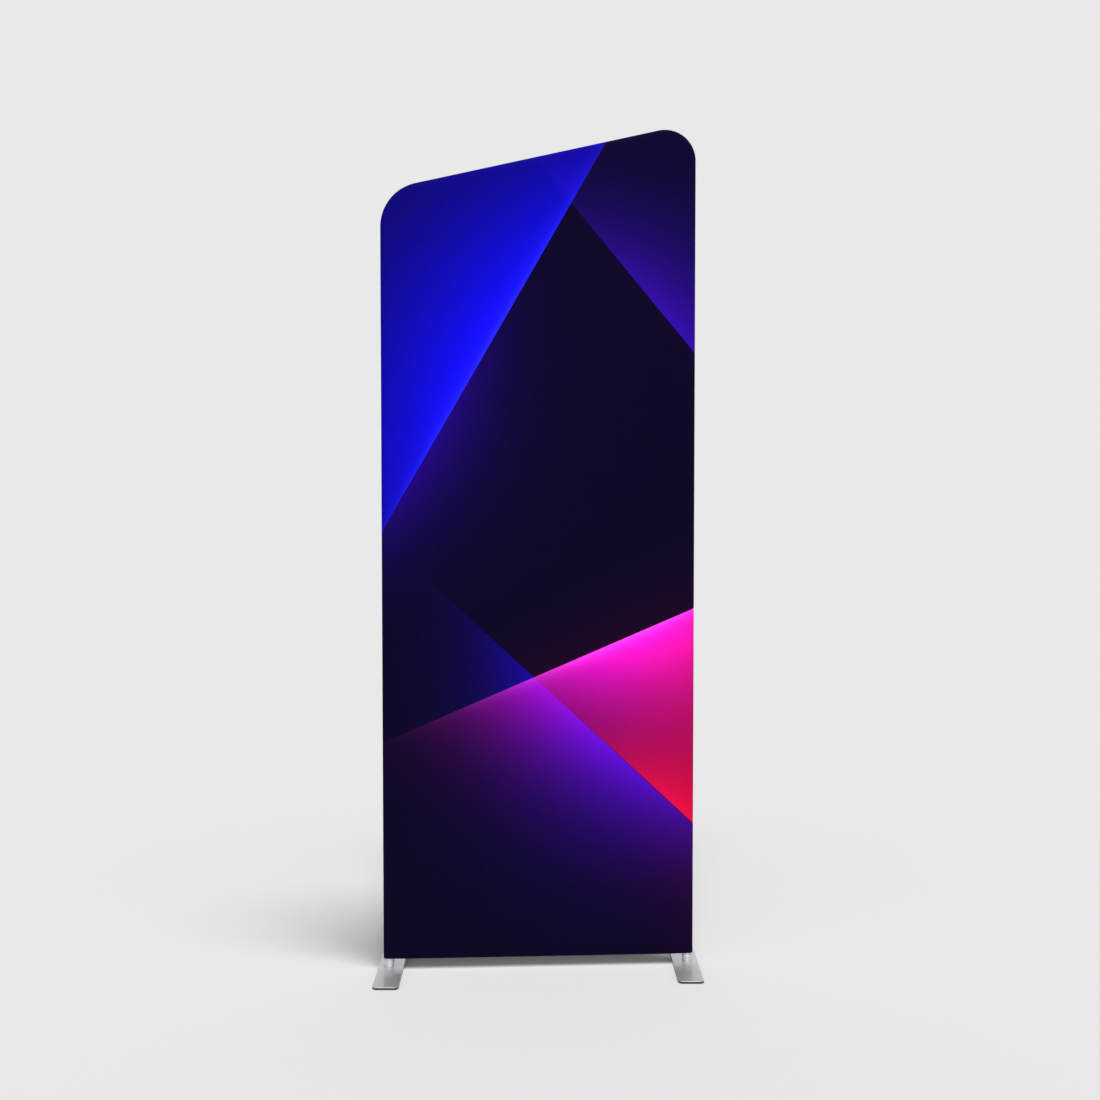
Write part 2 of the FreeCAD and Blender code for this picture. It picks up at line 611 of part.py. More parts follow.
def make_zip_slider():
    body = new_body("zip_slider")
    half_depth = "layout.slider_depth / 2"
    half_width = "layout.slider_width / 2"
    block = new_sketch(body, "slider_block", "YZ_Plane", offset="-sizes.slider_length / 2")
    add_outline(block, [
        (f"{side_y} * {half_depth}", f"{side_z} * {half_width}", "sizes.slider_round")
        for side_y, side_z in ((-1, -1), (1, -1), (1, 1), (-1, 1))
    ])
    pad(body, block, "sizes.slider_length")
    channel = new_sketch(body, "slider_channel", "YZ_Plane", offset="layout.nose_start")
    add_outline(channel, [
        (f"{side_y} * layout.channel_depth / 2", f"{side_z} * layout.channel_width / 2")
        for side_y, side_z in ((-1, -1), (1, -1), (1, 1), (-1, 1))
    ])
    pocket(body, channel, "sizes.slider_length")
    slot_half = "(sizes.zip_tape_thickness / 2 + sizes.moving_gap)"
    for name, side in (("upper", 1), ("lower", -1)):
        slot = new_sketch(body, f"slider_{name}_slot", "YZ_Plane", offset="sizes.slider_length / 2")
        add_outline(slot, [
            (f"-{slot_half}", f"{side} * sizes.slider_core / 2"),
            (slot_half, f"{side} * sizes.slider_core / 2"),
            (slot_half, f"{side} * layout.slider_width"),
            (f"-{slot_half}", f"{side} * layout.slider_width"),
        ])
        pocket(body, slot, "sizes.slider_length")
    bridge = new_sketch(body, "slider_bridge", "XY_Plane", offset="-sizes.bridge_width / 2")
    add_outline(bridge, [
        ("-layout.bridge_outside", half_depth),
        ("-layout.bridge_outside", "layout.bridge_top", "sizes.bridge_round"),
        ("layout.bridge_outside", "layout.bridge_top", "sizes.bridge_round"),
        ("layout.bridge_outside", half_depth),
        ("layout.bridge_opening", half_depth),
        ("layout.bridge_opening", "layout.bridge_inside"),
        ("-layout.bridge_opening", "layout.bridge_inside"),
        ("-layout.bridge_opening", half_depth),
    ])
    pad(body, bridge, "sizes.bridge_width")
    keep(place(body, x="layout.slider_place", y="layout.cover_middle", z="sizes.zip_height"))


def make_zip_pull():
    body = new_body("zip_pull")
    half_width = "sizes.pull_width / 2"
    half_slot = "layout.pull_slot / 2"
    tab = new_sketch(body, "pull_tab", "XZ_Plane", offset="-sizes.pull_thickness / 2")
    add_outline(tab, [
        ("0", half_width),
        ("-sizes.pull_length", half_width, "sizes.pull_round"),
        ("-sizes.pull_length", f"-{half_width}", "sizes.pull_round"),
        ("0", f"-{half_width}"),
        ("0", f"-{half_slot}"),
        ("-layout.pull_slot_end", f"-{half_slot}"),
        ("-layout.pull_slot_end", half_slot),
        ("0", half_slot),
    ])
    pad(body, tab, "sizes.pull_thickness")
    pin = new_sketch(body, "pull_pin_end", "XY_Plane", offset=f"-{half_width}")
    add_circle(pin, "sizes.pull_pin")
    pad(body, pin, "sizes.pull_width")
    keep(place(body, x="layout.slider_place", y="layout.cover_middle + layout.pull_axis", z="sizes.zip_height"))


def make_plate(name, side):
    # The plate's middle lies inside of the post, which stands at the body's origin.
    body = new_body(f"{name}_foot_plate")
    middle = f"{-side} * sizes.plate_offset"
    outline = new_sketch(body, f"{name}_plate_outline", "XY_Plane", offset="sizes.pad_thickness", across=middle)
    add_outline(outline, [
        (f"{side_x} * sizes.plate_width / 2", f"{side_y} * sizes.plate_length / 2", "sizes.plate_corner")
        for side_x, side_y in ((-1, -1), (1, -1), (1, 1), (-1, 1))
    ])
    base = pad(body, outline, "sizes.plate_thickness")
    doc.recompute()
    top = value("layout.plate_top")
    upper_edges = [
        f"Edge{number}" for number, edge in enumerate(base.Shape.Edges, start=1)
        if math.isclose(edge.BoundBox.ZMin, top, abs_tol=1e-4)
    ]
    rounding = body.newObject("PartDesign::Fillet", f"{name}_plate_edge")
    rounding.Base = (base, upper_edges)
    rounding.setExpression("Radius", "sizes.plate_edge_round")
    doc.recompute()
    before = body.Shape.Volume
    head_hole = "sizes.screw_head / 2 + sizes.moving_gap"
    shank_hole = "sizes.screw_diameter / 2 + sizes.moving_gap"
    sink = new_sketch(body, f"{name}_plate_sink", "XZ_Plane")
    add_outline(sink, [
        ("0", "sizes.pad_thickness"),
        (head_hole, "sizes.pad_thickness"),
        (head_hole, "layout.screw_bottom"),
        (shank_hole, "layout.screw_bottom + layout.screw_cone"),
        (shank_hole, "layout.plate_top"),
        ("0", "layout.plate_top"),
    ])
    revolve(body, sink, "V_Axis", "PartDesign::Groove")
    doc.recompute()
    if body.Shape.Volume >= before:
        raise RuntimeError(f"no screw hole in {body.Label}")
    keep(place_on_post(body, side))


def make_pads(name, side):
    discs = []
    for row, side_y in (("front", -1), ("rear", 1)):
        for column, side_x in (("left", -1), ("right", 1)):
            disc = doc.addObject("Part::Cylinder", f"{name}_{row}_{column}_pad")
            disc.setExpression("Radius", "sizes.pad_diameter / 2")
            disc.setExpression("Height", "sizes.pad_thickness")
            x = f"{-side} * sizes.plate_offset + {side_x} * (sizes.plate_width / 2 - sizes.pad_inset)"
            y = f"{side_y} * (sizes.plate_length / 2 - sizes.pad_inset)"
            discs.append(place(disc, x=x, y=y))
    group = doc.addObject("Part::Compound", f"{name}_foot_pads")
    group.Links = discs
    keep(place_on_post(group, side))


def make_post(name, side):
    body = new_body(f"{name}_foot_post")
    sketch = new_sketch(body, f"{name}_post_profile", "XZ_Plane")
    collar = "sizes.collar_diameter / 2"
    collar_low = "layout.plate_top"
    collar_high = "sizes.upright_bottom"
    shaft = "layout.post_diameter / 2"
    screw_hole = "sizes.screw_diameter / 2 + sizes.screw_gap"
    add_outline(sketch, [
        (screw_hole, collar_low),
        (f"{collar} - sizes.collar_bevel", collar_low),
        (collar, f"{collar_low} + sizes.collar_bevel"),
        (collar, f"{collar_high} - sizes.collar_bevel"),
        (f"{collar} - sizes.collar_bevel", collar_high),
        (shaft, collar_high),
        (shaft, "layout.post_top - sizes.post_lead"),
        (f"{shaft} - sizes.post_lead", "layout.post_top"),
        ("sizes.post_bore / 2", "layout.post_top"),
        ("sizes.post_bore / 2", "layout.post_base_top"),
        (screw_hole, "layout.post_base_top"),
    ])
    revolve(body, sketch, "V_Axis")
    keep(place(body, x=f"{side} * layout.half_width"))


def make_screw(name, side):
    body = new_body(f"{name}_foot_screw")
    sketch = new_sketch(body, f"{name}_screw_profile", "XZ_Plane")
    shank = "sizes.screw_diameter / 2"
    add_outline(sketch, [
        ("0", "layout.screw_bottom"),
        ("sizes.screw_head / 2", "layout.screw_bottom"),
        (shank, "layout.screw_bottom + layout.screw_cone"),
        (shank, "layout.screw_top"),
        ("0", "layout.screw_top"),
    ])
    revolve(body, sketch, "V_Axis")
    socket = new_sketch(body, f"{name}_screw_socket", "XY_Plane", offset="layout.screw_bottom + sizes.hex_depth")
    add_outline(socket, [
        (f"layout.hex_radius * cos({60 * corner})", f"layout.hex_radius * sin({60 * corner})")
        for corner in range(6)
    ])
    pocket(body, socket, "sizes.hex_depth")
    keep(place(body, x=f"{side} * layout.half_width"))


def make_feet():
    for name, side in (("left", -1), ("right", 1)):
        make_plate(name, side)
        make_pads(name, side)
        make_post(name, side)
        make_screw(name, side)


def check_document():
    doc.recompute()
    for item in doc.Objects:
        if "Invalid" in item.State or "Error" in item.State:
            raise RuntimeError(f"{item.Label} did not rebuild: {item.State}")
    for piece in pieces:
        if piece.Shape.isNull() or not piece.Shape.isValid() or not piece.Shape.Solids:
            raise RuntimeError(f"{piece.Label} has no valid solid")


def export_pieces():
    os.makedirs("parts", exist_ok=True)
    for piece in pieces:
        piece.Shape.exportStep(f"parts/{piece.Label}.step")
    print(f"{len(pieces)} nodes written")


make_uprights()
make_corner_tubes()
make_top_tube()
make_bottom_tube()
make_spigots()
make_rivets()
make_buttons()
make_springs()
make_covers()
make_zip_strips()
make_zip_slider()
make_zip_pull()
make_feet()
check_document()
export_pieces()
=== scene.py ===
import json
import math
import bpy
import bmesh
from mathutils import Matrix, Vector


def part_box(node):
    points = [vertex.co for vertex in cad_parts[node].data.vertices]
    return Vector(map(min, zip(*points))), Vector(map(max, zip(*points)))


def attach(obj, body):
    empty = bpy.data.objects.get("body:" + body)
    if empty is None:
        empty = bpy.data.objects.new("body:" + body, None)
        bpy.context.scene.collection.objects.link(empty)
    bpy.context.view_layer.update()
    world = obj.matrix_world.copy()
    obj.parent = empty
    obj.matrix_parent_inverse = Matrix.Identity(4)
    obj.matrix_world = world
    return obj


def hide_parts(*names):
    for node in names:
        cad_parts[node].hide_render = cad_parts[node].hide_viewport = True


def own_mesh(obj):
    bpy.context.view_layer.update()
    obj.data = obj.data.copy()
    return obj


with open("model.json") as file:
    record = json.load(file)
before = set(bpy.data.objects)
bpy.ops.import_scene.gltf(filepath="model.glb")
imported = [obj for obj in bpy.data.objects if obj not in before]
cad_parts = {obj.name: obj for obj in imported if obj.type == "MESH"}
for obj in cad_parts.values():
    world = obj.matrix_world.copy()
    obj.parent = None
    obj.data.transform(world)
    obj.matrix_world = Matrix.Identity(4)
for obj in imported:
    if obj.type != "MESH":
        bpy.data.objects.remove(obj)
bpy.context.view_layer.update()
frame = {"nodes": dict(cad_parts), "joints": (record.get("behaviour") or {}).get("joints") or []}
nodes = frame["nodes"]
print("frame loaded:", len(nodes), "nodes")

scene = bpy.context.scene
scene.view_settings.view_transform = "Standard"


def linear(hexCode):
    channels = [int(hexCode[i:i + 2], 16) / 255 for i in (1, 3, 5)]
    return tuple(c / 12.92 if c <= 0.04045 else ((c + 0.055) / 1.055) ** 2.4 for c in channels)


def colour(hexCode):
    return (*linear(hexCode), 1)


def waveScale(pitch):
    return math.pi / 10 / pitch    # bands of that pitch in metres


def addNode(tree, kind, sockets=None, **settings):
    node = tree.nodes.new(kind)
    for name, value in settings.items():
        setattr(node, name, value)
    for socket, value in (sockets or {}).items():
        if isinstance(value, bpy.types.NodeSocket):
            tree.links.new(value, node.inputs[socket])
        else:
            node.inputs[socket].default_value = value
    return node


def startMaterial(name, mapName=None):
    # patterns lie in metres: in the part's own frame, or in a map that the mesh carries
    material = bpy.data.materials.new(name)
    material.use_nodes = True
    tree = material.node_tree
    tree.nodes.clear()
    if mapName:
        place = addNode(tree, "ShaderNodeAttribute", attribute_name=mapName).outputs["Vector"]
    else:
        place = addNode(tree, "ShaderNodeTexCoord").outputs["Object"]
    return material, tree, place


def closeMaterial(tree, sockets):
    shader = addNode(tree, "ShaderNodeBsdfPrincipled", sockets)
    addNode(tree, "ShaderNodeOutputMaterial", {"Surface": shader.outputs[0]})
    return shader


# Print on the cover: planes of light, each with one crisp straight edge and glows that die away from it.
# through and angle give the edge, side the glow's side, fade its depth in metres,
# middle and spread where along the edge it is bright
printDesign = {
    "groundLow": "#0a0320",
    "groundHigh": "#0b0326",
    "groundSpan": (0.03, 2.45),    # heights of the two ground colours
    "edgeWidth": 0.002,
    "planes": [
        {"through": (-0.457, 1.28), "angle": 60, "glows": [
            dict(side=1, fade=0.24, middle=0.62, spread=0.62, tint="#0808ff", power=1.1),
            dict(side=1, fade=0.012, middle=0.62, spread=0.50, tint="#3c3cff", power=0.5),
            dict(side=-1, fade=0.09, middle=0.28, spread=0.34, tint="#3000b4", power=0.45)]},
        {"through": (0.457, 1.80), "angle": 130, "glows": [
            dict(side=-1, fade=0.13, middle=0.10, spread=0.36, tint="#4a10f0", power=0.45)]},
        {"through": (0.457, 1.06), "angle": 203, "glows": [
            dict(side=1, fade=0.13, middle=0.20, spread=0.34, tint="#ff12f0", power=1.0),
            dict(side=1, fade=0.26, middle=0.02, spread=0.26, tint="#f01048", power=0.9),
            dict(side=1, fade=0.012, middle=0.20, spread=0.34, tint="#ff70ff", power=0.4)]},
        {"through": (0.457, 0.42), "angle": 137, "glows": [
            dict(side=1, fade=0.12, middle=0.36, spread=0.34, tint="#2408f0", power=0.75),
            dict(side=-1, fade=0.17, middle=0.02, spread=0.30, tint="#ff0a34", power=0.8)]},
    ],
}


def paintGlow(tree, place, ink, plane, glow):
    # light on one side of the plane's edge, added to the ink below it
    turn = math.radians(plane["angle"])
    along = Vector((math.cos(turn), 0, math.sin(turn)))
    across = Vector((-math.sin(turn), 0, math.cos(turn))) * glow["side"]
    start = Vector((plane["through"][0], 0, plane["through"][1]))
    runs = addNode(tree, "ShaderNodeVectorMath", {0: place, 1: along},
                   operation="DOT_PRODUCT").outputs["Value"]
    depth = addNode(tree, "ShaderNodeVectorMath", {0: place, 1: across},
                    operation="DOT_PRODUCT").outputs["Value"]
    depth = addNode(tree, "ShaderNodeMath", {0: depth, 1: start.dot(across)}, operation="SUBTRACT").outputs[0]
    edge = addNode(tree, "ShaderNodeMapRange", {"Value": depth, 1: 0, 2: printDesign["edgeWidth"]}).outputs[0]
    fading = addNode(tree, "ShaderNodeMath", {0: depth, 1: -1 / glow["fade"]},
                     operation="MULTIPLY").outputs[0]
    fading = addNode(tree, "ShaderNodeMath", {0: fading, 1: 0.0}, operation="MINIMUM").outputs[0]
    offset = -(start.dot(along) + glow["middle"]) / glow["spread"]
    reach = addNode(tree, "ShaderNodeMath", {0: runs, 1: 1 / glow["spread"], 2: offset},
                    operation="MULTIPLY_ADD").outputs[0]
    square = addNode(tree, "ShaderNodeMath", {0: reach, 1: reach}, operation="MULTIPLY").outputs[0]
    total = addNode(tree, "ShaderNodeMath", {0: fading, 1: square}, operation="SUBTRACT").outputs[0]
    light = addNode(tree, "ShaderNodeMath", {0: total}, operation="EXPONENT").outputs[0]
    light = addNode(tree, "ShaderNodeMath", {0: light, 1: edge}, operation="MULTIPLY").outputs[0]
    strength = [c * glow["power"] for c in linear(glow["tint"])]
    return addNode(tree, "ShaderNodeVectorMath", {0: light, 1: strength, 2: ink},
                   operation="MULTIPLY_ADD").outputs["Vector"]


def paintPrint(tree, place):
    height = addNode(tree, "ShaderNodeSeparateXYZ", {0: place}).outputs["Z"]
    low, high = printDesign["groundSpan"]
    rise = addNode(tree, "ShaderNodeMapRange", {"Value": height, 1: low, 2: high}).outputs[0]
    ink = addNode(tree, "ShaderNodeMix", {"Factor": rise, 6: colour(printDesign["groundLow"]),
                                          7: colour(printDesign["groundHigh"])}, data_type="RGBA").outputs[2]
    for plane in printDesign["planes"]:
        for glow in plane["glows"]:
            ink = paintGlow(tree, place, ink, plane, glow)
    return ink


def dyePrintedKnit():
    # stretch polyester warp knit, dye-sublimated: matt and saturated, with fine upright ribs and the ink in
    # the yarn. The print lies on the sheet as cut, so its lines run straight over the rim
    material, tree, place = startMaterial("dyePrintedKnit", "flatPlace")
    ink = paintPrint(tree, place)
    ribPitch, loopPitch = 0.0016, 0.0022    # ribs are 0.5 mm in the cloth, drawn coarser so that they show
    cloudWidth = 0.0714                     # the dye takes a little unevenly
    waver = {"Vector": place, "Distortion": 0.6, "Detail": 1.0, "Detail Scale": 2.0}
    ribs = addNode(tree, "ShaderNodeTexWave", {**waver, "Scale": waveScale(ribPitch)},
                   wave_type="BANDS", bands_direction="X").outputs["Fac"]
    loops = addNode(tree, "ShaderNodeTexWave", {**waver, "Scale": waveScale(loopPitch)},
                    wave_type="BANDS", bands_direction="Z").outputs["Fac"]
    knit = addNode(tree, "ShaderNodeMath", {0: ribs, 1: loops}, operation="MULTIPLY").outputs[0]
    shade = addNode(tree, "ShaderNodeMapRange", {"Value": knit, 3: 0.93, 4: 1.04}).outputs[0]
    cloud = addNode(tree, "ShaderNodeTexNoise", {"Vector": place, "Scale": 1 / cloudWidth,
                                                 "Detail": 4.0}).outputs["Fac"]
    uneven = addNode(tree, "ShaderNodeMapRange", {"Value": cloud, 3: 0.96, 4: 1.04}).outputs[0]
    tone = addNode(tree, "ShaderNodeMath", {0: shade, 1: uneven}, operation="MULTIPLY").outputs[0]
    ink = addNode(tree, "ShaderNodeVectorMath", {0: ink, "Scale": tone}, operation="SCALE").outputs["Vector"]
    rough = addNode(tree, "ShaderNodeMapRange", {"Value": knit, 3: 0.92, 4: 0.78}).outputs[0]
    bump = addNode(tree, "ShaderNodeBump", {"Height": knit, "Strength": 0.25, "Distance": 0.0004}).outputs[0]
    closeMaterial(tree, {"Base Color": ink, "Roughness": rough, "Normal": bump, "IOR": 1.5,
                         "Specular IOR Level": 0.05})
    return material


def polyesterThread():
    # spun polyester sewing thread, twisted: dark, slightly glossy, with a slanting twist
    material, tree, place = startMaterial("polyesterThread")
    twistPitch = 0.0009
    twist = addNode(tree, "ShaderNodeTexWave", {"Vector": place, "Scale": waveScale(twistPitch)},
                    wave_type="BANDS", bands_direction="DIAGONAL").outputs["Fac"]
    tone = addNode(tree, "ShaderNodeMix", {"Factor": twist, 6: colour("#15102e"), 7: colour("#241c48")},
                   data_type="RGBA").outputs[2]
    bump = addNode(tree, "ShaderNodeBump", {"Height": twist, "Strength": 0.4, "Distance": 0.0002}).outputs[0]
    closeMaterial(tree, {"Base Color": tone, "Roughness": 0.55, "Normal": bump, "Sheen Weight": 0.1})
    return material


def wovenZipTape():
    # herringbone woven polyester tape: black, flat, a fine slanting weave
    material, tree, place = startMaterial("wovenZipTape")
    weavePitch = 0.0008    # 0.4 mm in the tape, drawn coarser so that it shows
    weave = addNode(tree, "ShaderNodeTexWave", {"Vector": place, "Scale": waveScale(weavePitch),
                    "Distortion": 0.4}, wave_type="BANDS", bands_direction="DIAGONAL").outputs["Fac"]
    tone = addNode(tree, "ShaderNodeMix", {"Factor": weave, 6: colour("#0c0c10"), 7: colour("#1d1d24")},
                   data_type="RGBA").outputs[2]
    bump = addNode(tree, "ShaderNodeBump", {"Height": weave, "Strength": 0.5, "Distance": 0.0002}).outputs[0]
    closeMaterial(tree, {"Base Color": tone, "Roughness": 0.8, "Normal": bump, "Sheen Weight": 0.05})
    return material


def extrudedNylon():
    # nylon monofilament wound to a coil: black, smooth, a soft shine on each tooth
    material, tree, place = startMaterial("extrudedNylon")
    speckWidth = 0.00111
    speck = addNode(tree, "ShaderNodeTexNoise", {"Vector": place, "Scale": 1 / speckWidth,
                                                 "Detail": 2.0}).outputs["Fac"]
    tone = addNode(tree, "ShaderNodeMix", {"Factor": speck, 6: colour("#0e0e12"), 7: colour("#1a1a20")},
                   data_type="RGBA").outputs[2]
    rough = addNode(tree, "ShaderNodeMapRange", {"Value": speck, 3: 0.30, 4: 0.42}).outputs[0]
    closeMaterial(tree, {"Base Color": tone, "Roughness": rough, "IOR": 1.53})
    return material


def mouldedRubber():
    # moulded nitrile rubber: black, matt, a fine moulded grain
    material, tree, place = startMaterial("mouldedRubber")
    grainWidth = 0.0012
    grain = addNode(tree, "ShaderNodeTexNoise", {"Vector": place, "Scale": 1 / grainWidth,
                                                 "Detail": 3.0}).outputs["Fac"]
    tone = addNode(tree, "ShaderNodeMix", {"Factor": grain, 6: colour("#0d0d0e"), 7: colour("#1c1c1e")},
                   data_type="RGBA").outputs[2]
    bump = addNode(tree, "ShaderNodeBump", {"Height": grain, "Strength": 0.3, "Distance": 0.0002}).outputs[0]
    closeMaterial(tree, {"Base Color": tone, "Roughness": 0.75, "IOR": 1.52, "Normal": bump})
    return material


def metalFinish(name, dark, light, rough, grain, depth, stretch=(1, 1, 1), smear=None, lacquer=None,
                paintedShadeSides=None, turned=0):
    # shared by the metals: a grain in the colour, the roughness and the surface, which stretch pulls along
    # an axis; smear is the direction across the brush lines, in which reflections spread,
    # lacquer a clear coat's weight and roughness, paintedShadeSides the colour of the painted shade on faces
    # that stand upright, turned the degrees that the piece stands turned, clockwise from above
    material, tree, place = startMaterial(name)
    hazeWidth = 0.0455
    steep, level = 0.25, 0.6    # how far a face looks up: a side that takes the painted shade, and the top
    if turned:
        place = addNode(tree, "ShaderNodeVectorRotate", {"Vector": place, "Angle": math.radians(turned)},
                        rotation_type="Z_AXIS").outputs["Vector"]
    pulled = addNode(tree, "ShaderNodeVectorMath", {0: place, 1: stretch},
                     operation="MULTIPLY").outputs["Vector"]
    marks = addNode(tree, "ShaderNodeTexNoise", {"Vector": pulled, "Scale": 1 / grain, "Detail": 3.0,
                    "Roughness": 0.6}).outputs["Fac"]
    tone = addNode(tree, "ShaderNodeMix", {"Factor": marks, 6: colour(dark), 7: colour(light)},
                   data_type="RGBA").outputs[2]
    # painted shade: faces that stand upright are darkened to stand in for the shade they sit in
    if paintedShadeSides:
        facing = addNode(tree, "ShaderNodeTexCoord").outputs["Normal"]
        facing = addNode(tree, "ShaderNodeSeparateXYZ", {0: facing}).outputs["Z"]
        upright = addNode(tree, "ShaderNodeMapRange", {"Value": facing, 1: steep, 2: level, 3: 1.0,
                                                       4: 0.0}).outputs[0]
        tone = addNode(tree, "ShaderNodeMix", {"Factor": upright, 6: tone, 7: colour(paintedShadeSides)},
                       data_type="RGBA").outputs[2]
    haze = addNode(tree, "ShaderNodeTexNoise", {"Vector": place, "Scale": 1 / hazeWidth,
                                                "Detail": 4.0}).outputs["Fac"]
    blur = addNode(tree, "ShaderNodeMath", {0: marks, 1: haze}, operation="ADD").outputs[0]
    spread = addNode(tree, "ShaderNodeMapRange", {"Value": blur, 1: 0.6, 2: 1.4, 3: rough[0],
                                                  4: rough[1]}).outputs[0]
    bump = addNode(tree, "ShaderNodeBump", {"Height": marks, "Strength": 0.3, "Distance": depth}).outputs[0]
    shader = closeMaterial(tree, {"Base Color": tone, "Metallic": 1.0, "Roughness": spread, "Normal": bump})
    if lacquer:
        shader.inputs["Coat Weight"].default_value, shader.inputs["Coat Roughness"].default_value = lacquer
    if smear:
        shader.inputs["Anisotropic"].default_value = 0.8
        across = addNode(tree, "ShaderNodeVectorTransform", {0: smear}, vector_type="VECTOR",
                         convert_from="OBJECT", convert_to="WORLD")
        tree.links.new(across.outputs[0], shader.inputs["Tangent"])
    return material


knitCloth = dyePrintedKnit()
seamThread = polyesterThread()
zipCloth = wovenZipTape()
zipNylon = extrudedNylon()
footRubber = mouldedRubber()
# brushed stainless plate under a clear lacquer: the abrasive belt leaves hair lines along the foot, 0.1 mm
# wide and drawn at 0.7 mm, the lacquer adds a clearer reflection, and the upright sides get a painted shade
brushedStainless = metalFinish("brushedStainless", "#b4b5b8", "#d2d3d6", rough=(0.50, 0.60), grain=0.0007,
                               depth=0.00004, stretch=(1, 0.02, 1), lacquer=(0.6, 0.12),
                               paintedShadeSides="#47484b", turned=3)
# turned and polished stainless post: bright, with faint tool rings round it
turnedStainless = metalFinish("turnedStainless", "#c8c9cc", "#dedfe2", rough=(0.22, 0.32), grain=0.0008,
                              depth=0.00002, stretch=(0.03, 0.03, 1), smear=(0, 0, 1))
# extruded aluminium tube, etched and clear anodised: even satin, a very fine grain
anodisedAluminium = metalFinish("anodisedAluminium", "#b8babd", "#cdcfd1", rough=(0.30, 0.42), grain=0.0009,
                                depth=0.00003)
# drawn aluminium sleeve, mill finish: brighter, with die lines and scuffs
drawnAluminium = metalFinish("drawnAluminium", "#b0b2b4", "#d6d7d8", rough=(0.22, 0.40), grain=0.0011,
                             depth=0.00004, stretch=(1, 1, 0.05))
# nickel plated die-cast zinc: warm bright grey
nickelPlate = metalFinish("nickelPlate", "#b5b0a6", "#cbc6bc", rough=(0.14, 0.26), grain=0.0012,
                          depth=0.00002)
# tempered spring steel strip: darker grey, rolled
rolledSpringSteel = metalFinish("rolledSpringSteel", "#77787a", "#939496", rough=(0.24, 0.38), grain=0.0008,
                                depth=0.00003, stretch=(0.05, 1, 1))
# zinc plated steel screw: pale with a blue cast
zincPlate = metalFinish("zincPlate", "#a9afb5", "#c6ccd1", rough=(0.22, 0.36), grain=0.0010, depth=0.00003)
print("materials made:", len(bpy.data.materials))

finishes = {
    "frame_tube": anodisedAluminium,
    "joining_sleeve": drawnAluminium,
    "snap_button": nickelPlate,
    "spring_strip": rolledSpringSteel,
    "rivet": drawnAluminium,
    "zip_tape": zipCloth,
    "zip_teeth": zipNylon,
    "zip_metal": nickelPlate,
    "foot_plate": brushedStainless,
    "foot_post": turnedStainless,
    "foot_screw": zincPlate,
    "foot_pad": footRubber,
    "stretch_cloth": knitCloth,
}
endings = {
    "_upright": "frame_tube", "_tube": "frame_tube", "_spigot": "joining_sleeve", "_button": "snap_button",
    "_spring": "spring_strip", "_rivets": "rivet", "_foot_plate": "foot_plate", "_foot_post": "foot_post",
    "_foot_screw": "foot_screw", "_foot_pads": "foot_pad", "zip_chain": "zip_teeth",
    "zip_slider": "zip_metal", "zip_pull": "zip_metal", "zip_stops": "zip_metal",
    "zip_tape_upper": "zip_tape", "zip_tape_lower": "zip_tape",
    "cover_front": "stretch_cloth", "cover_back": "stretch_cloth",
}
for name, node in nodes.items():
    finish = next(slot for ending, slot in endings.items() if name.endswith(ending))
    node.data.materials.clear()
    node.data.materials.append(finishes[finish])
print("finishes set on", len(nodes), "nodes")


def addPiece(name, mesh, material):
    piece = bpy.data.objects.new(name, mesh)
    scene.collection.objects.link(piece)
    mesh.materials.clear()
    mesh.materials.append(material)
    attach(piece, "frame")
    return piece


def pieceFrom(build, name, material):
    # the mesh that was built becomes a smooth piece
    mesh = bpy.data.meshes.new(name)
    build.to_mesh(mesh)
    build.free()
    mesh.shade_smooth()
    return addPiece(name, mesh, material)


def thickenSheet(piece, thick, creaseAngle):
    # half the thickness to each side; creases over that angle stay crisp and the rest is smooth
    shell = piece.modifiers.new("cloth", "SOLIDIFY")
    shell.thickness, shell.offset = thick, 0
    view = bpy.context.evaluated_depsgraph_get()
    mesh = bpy.data.meshes.new_from_object(piece.evaluated_get(view))
    piece.modifiers.clear()
    piece.data = mesh
    mesh.shade_smooth()
    mesh.set_sharp_from_angle(angle=math.radians(creaseAngle))


def foldingLeaf(joint):
    spring = joint["name"].replace("_button_press", "_spring")
    words = spring.split("_")
    name = words[0] + words[1].title() + "Leaf"
    piece = addPiece(name, nodes[spring].data.copy(), rolledSpringSteel)
    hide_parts(spring)
    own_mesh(piece)


buttonJoints = [joint for joint in frame["joints"] if joint["name"].endswith("_button_press")]
for joint in buttonJoints:
    foldingLeaf(joint)
print("spring leaves made:", len(buttonJoints))

# Stretch cover: two sheets pulled over the tube loop and sewn along the rim
cover = {
    "halfWidth": 0.441,        # tube axis from the middle
    "leftCorner": 2.253,       # height where the left upright's axis meets the top tube's
    "rightCorner": 2.452,
    "leftBend": 0.114,
    "rightBend": 0.073,
    "railHeight": 0.045,       # axis of the bottom rail
    "edgeHeight": 0.0336,      # lower edge in front of and behind the posts
    "hemEnd": 0.398,           # the hem under the rail starts to part here, to let the post through
    "openEnd": 0.432,          # and hangs straight from here on
    "wrap": 0.0157,            # tube axis to the middle of the cloth
    "thick": 0.0006,
    "zipHalf": 0.400,
    "zipLow": 0.067,
    "zipHigh": 0.085,
    "bendColumns": 44,
    "topColumns": 30,
    "rowStart": 0.1,           # rows of the mesh: evenly spaced from here, then following the top
    "rowPitch": 0.05,
    "levelRows": 39,
    "topRows": 40,
    "rimSteps": (0, 15, 30, 45, 60, 72, 80, 85, 87.5, 90),   # degrees round the tube, seam at 90
    "seamDip": 0.0004,
    "dipStart": 80,            # degrees round the tube where the cloth starts to dip to the seam
    "puckerDepth": 0.00045,
    "puckerPitch": 0.021,
    "puckerReach": 0.035,
    "puckerClear": 0.2,        # share of the bend's radius round its centre that stays flat
    "creaseAngle": 50,
}
slope = math.atan2(cover["rightCorner"] - cover["leftCorner"], 2 * cover["halfWidth"])
leftTurn, rightTurn = math.pi / 2 - slope, math.pi / 2 + slope
